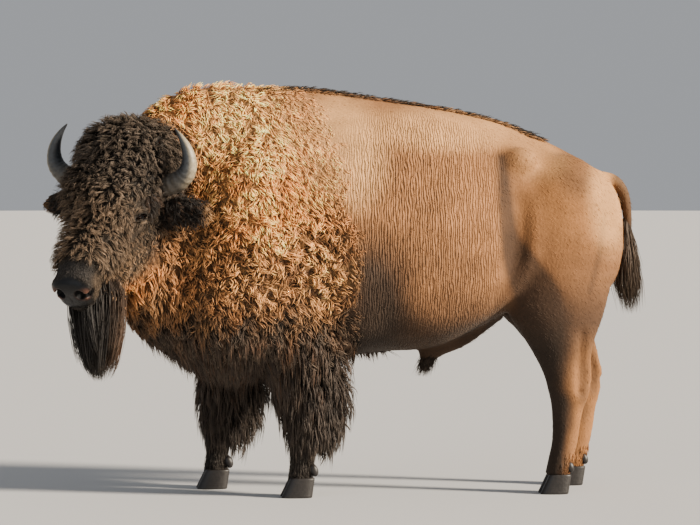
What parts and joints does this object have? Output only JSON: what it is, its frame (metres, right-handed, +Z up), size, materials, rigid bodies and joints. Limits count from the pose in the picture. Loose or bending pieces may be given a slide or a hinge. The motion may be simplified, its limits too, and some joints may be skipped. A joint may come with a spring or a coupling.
{
  "type": "standing american bison bull",
  "caption": "Life-size American bison bull standing still, head turned to its left, with curved horns, a beard, a high hump and shaggy forelegs.",
  "frame": {"origin": "centre of the bounding box in plan, at floor level under the hooves", "axes": "+X from the head towards the tail, +Y from the animal's left side towards its right, +Z up"},
  "size_m": [2.6436, 1.0172, 1.8129],
  "materials": {
    "crown_mop": "deep curly hair, nearly black with brown tips",
    "face_hair": "short dull hair over skin, dark brown, lighter round the eye",
    "nose_and_muzzle": "bare damp skin on the nose, very short hair behind it",
    "dark_long_hair": "long dull hair, brown-black with golden brown fringes",
    "golden_wool": "curly dull wool, golden brown",
    "flank_coat": "short flat coat, tan brown, with fine upright wrinkles",
    "rump_coat": "short flat coat, tan brown, palest at the rear",
    "leg_coat": "short flat coat, brown, darker in front",
    "tail_coat": "short flat coat, tan",
    "tail_tassel": "long straight hair, blackish",
    "eye_glass": "wet and glossy, dark brown",
    "horn_sheath": "grey horn with a paler outer edge, worn and ringed at the base",
    "hoof_horn": "dull dark horn, ringed"
  },
  "bodies": {
    "root": {"crown": "crown_mop", "face": "face_hair", "muzzle": "nose_and_muzzle", "chin": "face_hair", "beard": "dark_long_hair", "horn_left": "horn_sheath", "ear_left": "face_hair", "eye_left": "eye_glass", "horn_right": "horn_sheath", "ear_right": "face_hair", "eye_right": "eye_glass", "neck": "golden_wool", "shoulders": "golden_wool", "barrel": "flank_coat", "rump": "rump_coat", "sheath": "dark_long_hair", "tail": "tail_coat", "tassel": "tail_tassel", "foreleg_left": "dark_long_hair", "pastern_fore_left": "leg_coat", "hoof_fore_left_inner": "hoof_horn", "dewclaw_fore_left_inner": "hoof_horn", "hoof_fore_left_outer": "hoof_horn", "dewclaw_fore_left_outer": "hoof_horn", "thigh_left": "rump_coat", "shank_left": "leg_coat", "pastern_hind_left": "leg_coat", "hoof_hind_left_inner": "hoof_horn", "dewclaw_hind_left_inner": "hoof_horn", "hoof_hind_left_outer": "hoof_horn", "dewclaw_hind_left_outer": "hoof_horn", "foreleg_right": "dark_long_hair", "pastern_fore_right": "leg_coat", "hoof_fore_right_inner": "hoof_horn", "dewclaw_fore_right_inner": "hoof_horn", "hoof_fore_right_outer": "hoof_horn", "dewclaw_fore_right_outer": "hoof_horn", "thigh_right": "rump_coat", "shank_right": "leg_coat", "pastern_hind_right": "leg_coat", "hoof_hind_right_inner": "hoof_horn", "dewclaw_hind_right_inner": "hoof_horn", "hoof_hind_right_outer": "hoof_horn", "dewclaw_hind_right_outer": "hoof_horn"}
  },
  "joints": []
}
